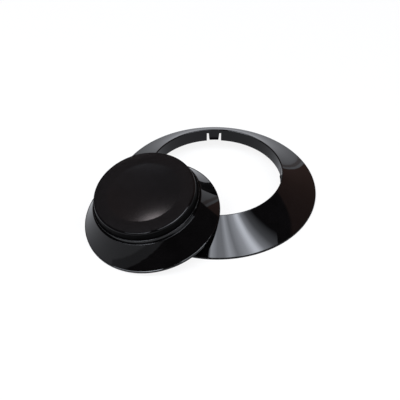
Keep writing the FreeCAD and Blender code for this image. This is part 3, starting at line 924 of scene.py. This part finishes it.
SURROUND = (0.93, 0.93, 0.93)
ROOM_DIM = (0.034, 0.031, 0.031)
ROOM_BROWN = (0.17, 0.105, 0.090)
ROOM_BROWN_WAY = (0.71, 0.50, 0.50)
ROOM_BROWN_REACH = math.radians(75)
ROOM_LAMP_WAY = (-0.333, 0.748, 0.574)
ROOM_LAMP_REACH = math.radians(5)
ROOM_LAMP = (7.0, 6.4, 6.6)
GROUND = (0.43, 0.44, 0.47)
# A plane that parts the room in two: dark in front, brown with a far pale ground behind.
ROOM_EDGE = (-0.447, 0.872, 0.202)
EDGE_START, EDGE_END = -0.01, 0.02
# Brightness of the pale ground by the rise of the line of sight: (rise, share).
GROUND_FRONT = ((-0.28, 1.0), (-0.255, 0.55), (-0.15, 0.55), (-0.135, 0.0))
GROUND_BEHIND = ((-0.62, 2.0), (-0.5, 1.1), (-0.12, 1.05), (-0.075, 0.9), (-0.06, 0.40),
                 (-0.035, 0.42), (-0.025, 1.1), (-0.006, 1.1), (0.0, 0.0))
GROUND_WAVES = 9.0
GROUND_WAVE_HEIGHT = 0.02


def make_room():
    """A pale surround for the camera; for reflections, a dim room over a pale ground."""
    world = bpy.data.worlds.new("room")
    scene.world = world
    world.use_nodes = True
    tree = world.node_tree
    tree.nodes.clear()

    def node(kind, **settings):
        made = tree.nodes.new(kind)
        for key, value in settings.items():
            setattr(made, key, value)
        return made

    def colour_of(value):
        flat = node("ShaderNodeRGB")
        flat.outputs["Color"].default_value = (*value, 1)
        return flat.outputs["Color"]

    def mixed(share, under, over):
        mix = node("ShaderNodeMix", data_type="RGBA")
        tree.links.new(share, mix.inputs["Factor"])
        tree.links.new(under, mix.inputs["A"])
        tree.links.new(over, mix.inputs["B"])
        return mix.outputs["Result"]

    def along(direction):
        dot = node("ShaderNodeVectorMath", operation="DOT_PRODUCT")
        dot.inputs[1].default_value = Vector(direction).normalized()
        tree.links.new(sight.outputs["Generated"], dot.inputs[0])
        return dot.outputs["Value"]

    def share_between(value, start, end, shape="LINEAR"):
        ramp = node("ShaderNodeMapRange", interpolation_type=shape)
        ramp.inputs["From Min"].default_value = start
        ramp.inputs["From Max"].default_value = end
        tree.links.new(value, ramp.inputs["Value"])
        return ramp.outputs["Result"]

    def near(direction, reach):
        return share_between(along(direction), math.cos(reach), 1.0, "SMOOTHSTEP")

    def ground_share(stops):
        start, end = stops[0][0], stops[-1][0]
        ramp = node("ShaderNodeValToRGB")
        fill_ramp(ramp, [((place - start) / (end - start), share) for place, share in stops])
        tree.links.new(share_between(rise, start, end), ramp.inputs["Fac"])
        return ramp.outputs["Color"]

    sight = node("ShaderNodeTexCoord")
    waves = node("ShaderNodeTexNoise")
    waves.inputs["Scale"].default_value = GROUND_WAVES
    tree.links.new(sight.outputs["Generated"], waves.inputs["Vector"])
    lift = node("ShaderNodeMath", operation="MULTIPLY_ADD")
    lift.inputs[1].default_value = GROUND_WAVE_HEIGHT
    tree.links.new(waves.outputs["Fac"], lift.inputs[0])
    tree.links.new(along(UP), lift.inputs[2])
    rise = lift.outputs["Value"]
    dim = colour_of(ROOM_DIM)
    ground = colour_of(GROUND)
    brown = mixed(near(ROOM_BROWN_WAY, ROOM_BROWN_REACH), dim, colour_of(ROOM_BROWN))
    front = mixed(ground_share(GROUND_FRONT), dim, ground)
    behind = mixed(ground_share(GROUND_BEHIND), brown, ground)
    room = mixed(share_between(along(ROOM_EDGE), EDGE_START, EDGE_END), front, behind)
    room = mixed(near(ROOM_LAMP_WAY, ROOM_LAMP_REACH), room, colour_of(ROOM_LAMP))
    path = node("ShaderNodeLightPath")
    seen = mixed(path.outputs["Is Camera Ray"], room, colour_of(SURROUND))
    background = node("ShaderNodeBackground")
    tree.links.new(seen, background.inputs["Color"])
    output = node("ShaderNodeOutputWorld")
    tree.links.new(background.outputs["Background"], output.inputs["Surface"])


PANEL_HEIGHT = 0.8
# The panel's edges left and right, near and far, as slopes from straight above the ring's middle.
PANEL_ACROSS = (-1.0, 0.88)
PANEL_AHEAD = (-0.78, 0.0)
PANEL_RADIANCE = 13.4
PANEL_TINT = (0.87, 0.91, 1.0)
# How bright the panel is along its width: slope across, share of the full radiance.
PANEL_STRIPES = (
    (-1.0, 0.0), (-0.95, 0.45), (-0.6, 0.5), (-0.55, 1.0), (-0.3, 1.0), (-0.26, 0.0),
    (-0.075, 0.0), (-0.05, 0.55), (0.03, 0.3), (0.1, 0.3), (0.165, 0.6), (0.25, 0.3),
    (0.37, 0.55), (0.45, 1.0), (0.48, 1.0), (0.56, 0.35), (0.68, 0.1), (0.88, 0.0),
)


def make_panel():
    """A striped softbox overhead, out of the camera's sight, that streaks the gloss with light."""
    finish = Finish("panel_light", Base_Color=(0, 0, 0, 1), Emission_Strength=PANEL_RADIANCE,
                    Specular_IOR_Level=0.0)
    ramp = finish.node("ShaderNodeValToRGB")
    width = PANEL_ACROSS[1] - PANEL_ACROSS[0]
    depth = PANEL_AHEAD[1] - PANEL_AHEAD[0]
    where = finish.node("ShaderNodeSeparateXYZ")
    finish.link(finish.coordinates(), where.inputs["Vector"])
    half = width * PANEL_HEIGHT / 2
    fill_ramp(ramp, [((slope - PANEL_ACROSS[0]) / width, share)
                     for slope, share in PANEL_STRIPES])
    finish.link(finish.spread(where.outputs["X"], 0, 1, -half, half), ramp.inputs["Fac"])
    tint = finish.node("ShaderNodeMix", data_type="RGBA", blend_type="MULTIPLY")
    tint.inputs["Factor"].default_value = 1.0
    tint.inputs["B"].default_value = (*PANEL_TINT, 1)
    finish.link(ramp.outputs["Color"], tint.inputs["A"])
    finish.link(tint.outputs["Result"], finish.shader.inputs["Emission Color"])
    maker = bmesh.new()
    corners = [maker.verts.new((x * half, y * depth * PANEL_HEIGHT / 2, 0))
               for x, y in ((-1, -1), (1, -1), (1, 1), (-1, 1))]
    maker.faces.new(corners)
    middle = Vector((sum(PANEL_ACROSS) / 2, sum(PANEL_AHEAD) / 2, 1)) * PANEL_HEIGHT
    panel = build("panel", maker, Matrix.Translation(middle))
    panel.data.materials.append(finish.material)
    panel.visible_camera = False


# ---- The scene -------------------------------------------------------------------------------

make_trim_ring()
make_bezel()
make_housing()
make_cap()
make_spring()
make_bellows()

CAD_LOOKS = {
    "housing_seal": "rubber_black", "base_plate": "nylon_black", "base_seal": "rubber_black",
    "hose_spigot": "brass", "spigot_seal": "rubber_black", "bellows_clamp": "nylon_black",
    "clamp_screws": "screw_steel", "pusher": "nylon_white",
}
for node_name, slot_name in CAD_LOOKS.items():
    dress(frame["nodes"][node_name], slot_name)

make_camera()
make_floor()
make_room()
make_panel()
scene.view_settings.view_transform = "Standard"
